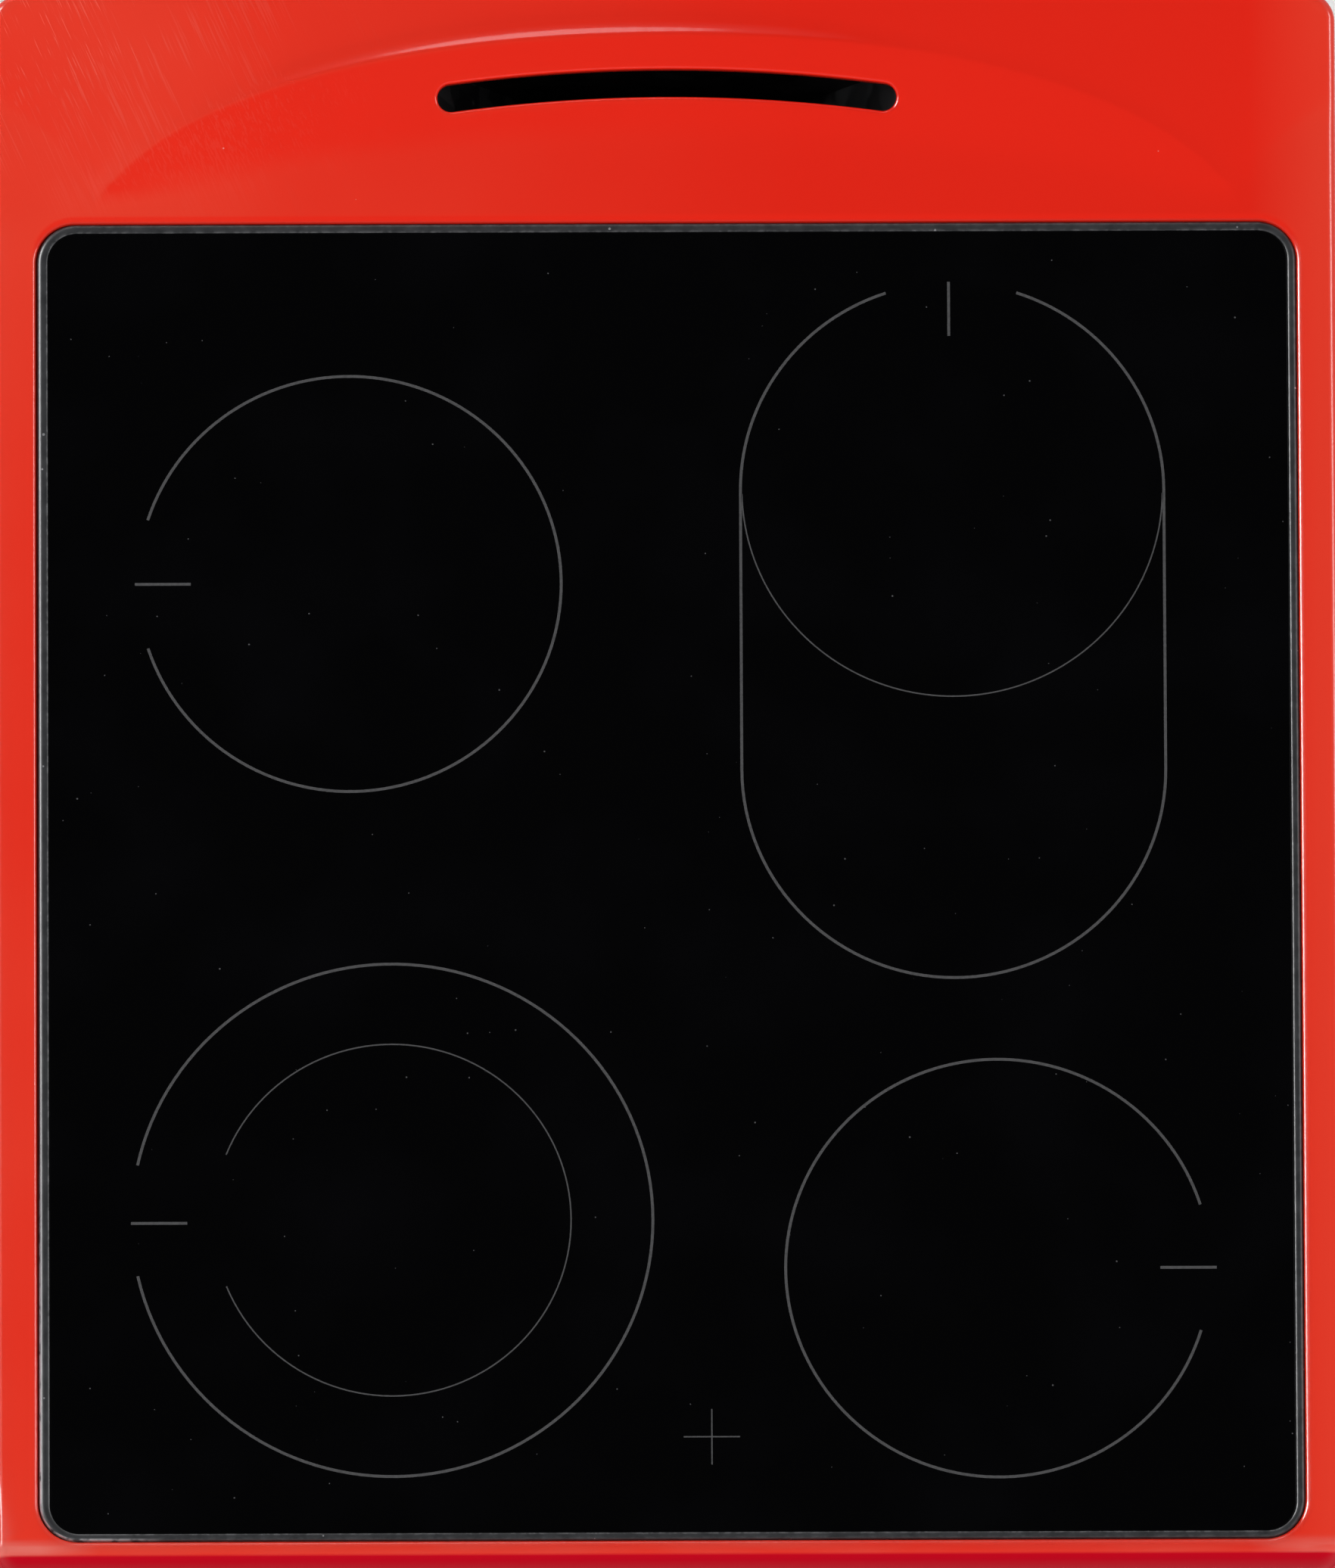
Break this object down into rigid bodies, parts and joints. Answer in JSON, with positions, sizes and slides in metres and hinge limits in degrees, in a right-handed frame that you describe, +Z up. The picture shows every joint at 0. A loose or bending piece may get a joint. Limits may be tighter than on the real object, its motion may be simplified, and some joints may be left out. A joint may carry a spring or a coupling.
{
  "type": "electric cooker",
  "caption": "Free-standing electric cooker with a red enamelled hob top, black ceramic glass, fan oven with drop-down glass door, control knobs and a storage drawer.",
  "frame": {"origin": "on the floor under the middle of the whole, with the door handle counted in its depth", "axes": "+X to the right seen from the front, +Y to the back, +Z up"},
  "size_m": [0.5, 0.645, 0.85],
  "materials": {
    "red_enamel": "gloss vitreous enamel",
    "red_paint": "gloss paint",
    "zinc_steel": "galvanised sheet",
    "grey_enamel": "satin enamel",
    "black_paint": "satin paint",
    "oven_enamel": "speckled gloss enamel",
    "glass_wool": "fibrous",
    "gasket_rubber": "matt silicone",
    "dark_trim": "dark seal with worn edges",
    "hob_glass": "polished black glass ceramic",
    "heater_board": "pressed fibre board",
    "heater_alloy": "oxidised ribbon",
    "switch_resin": "moulded resin",
    "amber_lens": "moulded lens",
    "element_steel": "annealed tube",
    "lamp_ceramic": "glazed",
    "clear_glass": "polished",
    "chromed_wire": "bright",
    "black_plastic": "fine texture",
    "knob_plastic": "fine texture",
    "spindle_steel": "plated",
    "door_glass": "printed black glass",
    "handle_steel": "brushed"
  },
  "bodies": {
    "carcass": {"base_pan": "zinc_steel", "side_panel_left": "red_paint", "side_panel_right": "red_paint", "back_panel": "zinc_steel", "front_frame": "oven_enamel", "oven_cavity": "oven_enamel", "insulation_wrap": "glass_wool", "door_gasket": "gasket_rubber", "hinge_arms": "zinc_steel", "hob_top": "red_enamel", "glass_trim": "dark_trim", "ceramic_glass": "hob_glass", "heater_dishes": "zinc_steel", "heater_insulations": "heater_board", "heater_ribbons": "heater_alloy", "heater_limiters": "heater_board", "heater_crossbars": "zinc_steel", "control_panel": "red_enamel", "hob_regulators": "switch_resin", "oven_selector": "switch_resin", "oven_thermostat": "zinc_steel", "pilot_lenses": "amber_lens", "grill_element": "element_steel", "floor_element": "element_steel", "lamp_holder": "lamp_ceramic", "lamp_cover": "clear_glass", "shelf_guides": "chromed_wire", "wire_shelf": "chromed_wire", "baking_tray": "oven_enamel", "fan_cover": "oven_enamel", "fan_motor": "zinc_steel", "vent_duct": "zinc_steel", "terminal_box": "black_plastic", "drawer_runners": "zinc_steel", "foot_front_left": "black_plastic", "foot_front_right": "black_plastic", "foot_rear_left": "black_plastic", "foot_rear_right": "black_plastic"},
    "oven_door": {"door_outer_glass": "door_glass", "door_frame": "black_paint", "door_liner": "oven_enamel", "door_inner_glass": "clear_glass", "door_handle_bar": "handle_steel", "door_handle_posts": "black_plastic", "hinge_channels": "zinc_steel"},
    "storage_drawer": {"drawer_box": "grey_enamel", "drawer_front": "red_enamel"},
    "fan": {"fan_impeller": "element_steel"},
    "knob_rear_left_body": {"knob_rear_left": "knob_plastic", "spindle_rear_left": "spindle_steel"},
    "knob_front_left_body": {"knob_front_left": "knob_plastic", "spindle_front_left": "spindle_steel"},
    "knob_oven_mode_body": {"knob_oven_mode": "knob_plastic", "spindle_oven_mode": "spindle_steel"},
    "knob_oven_heat_body": {"knob_oven_heat": "knob_plastic", "spindle_oven_heat": "spindle_steel"},
    "knob_front_right_body": {"knob_front_right": "knob_plastic", "spindle_front_right": "spindle_steel"},
    "knob_rear_right_body": {"knob_rear_right": "knob_plastic", "spindle_rear_right": "spindle_steel"}
  },
  "joints": [
    {"name": "oven_door_hinge", "type": "hinge", "parent": "carcass", "child": "oven_door", "pos_m": [0, -0.2585, 0.234], "axis": [1, 0, 0], "range_deg": [0, 90], "stiffness_Nm_per_rad": 5, "springref_deg": -6.88},
    {"name": "storage_drawer_slide", "type": "slide", "parent": "carcass", "child": "storage_drawer", "axis": [0, -1, 0], "range_m": [0, 0.3]},
    {"name": "fan_spin", "type": "hinge", "parent": "carcass", "child": "fan", "pos_m": [0, 0.15, 0.4375], "axis": [0, 1, 0], "continuous": true},
    {"name": "knob_rear_left_turn", "type": "hinge", "parent": "carcass", "child": "knob_rear_left_body", "pos_m": [-0.18, -0.2745, 0.75052], "axis": [0, 1, 0], "range_deg": [0, 300]},
    {"name": "knob_front_left_turn", "type": "hinge", "parent": "carcass", "child": "knob_front_left_body", "pos_m": [-0.108, -0.2745, 0.75052], "axis": [0, 1, 0], "range_deg": [0, 300]},
    {"name": "knob_oven_mode_turn", "type": "hinge", "parent": "carcass", "child": "knob_oven_mode_body", "pos_m": [-0.036, -0.2745, 0.75052], "axis": [0, 1, 0], "range_deg": [0, 315]},
    {"name": "knob_oven_heat_turn", "type": "hinge", "parent": "carcass", "child": "knob_oven_heat_body", "pos_m": [0.036, -0.2745, 0.75052], "axis": [0, 1, 0], "range_deg": [0, 270]},
    {"name": "knob_front_right_turn", "type": "hinge", "parent": "carcass", "child": "knob_front_right_body", "pos_m": [0.108, -0.2745, 0.75052], "axis": [0, 1, 0], "range_deg": [0, 300]},
    {"name": "knob_rear_right_turn", "type": "hinge", "parent": "carcass", "child": "knob_rear_right_body", "pos_m": [0.18, -0.2745, 0.75052], "axis": [0, 1, 0], "range_deg": [0, 300]}
  ]
}
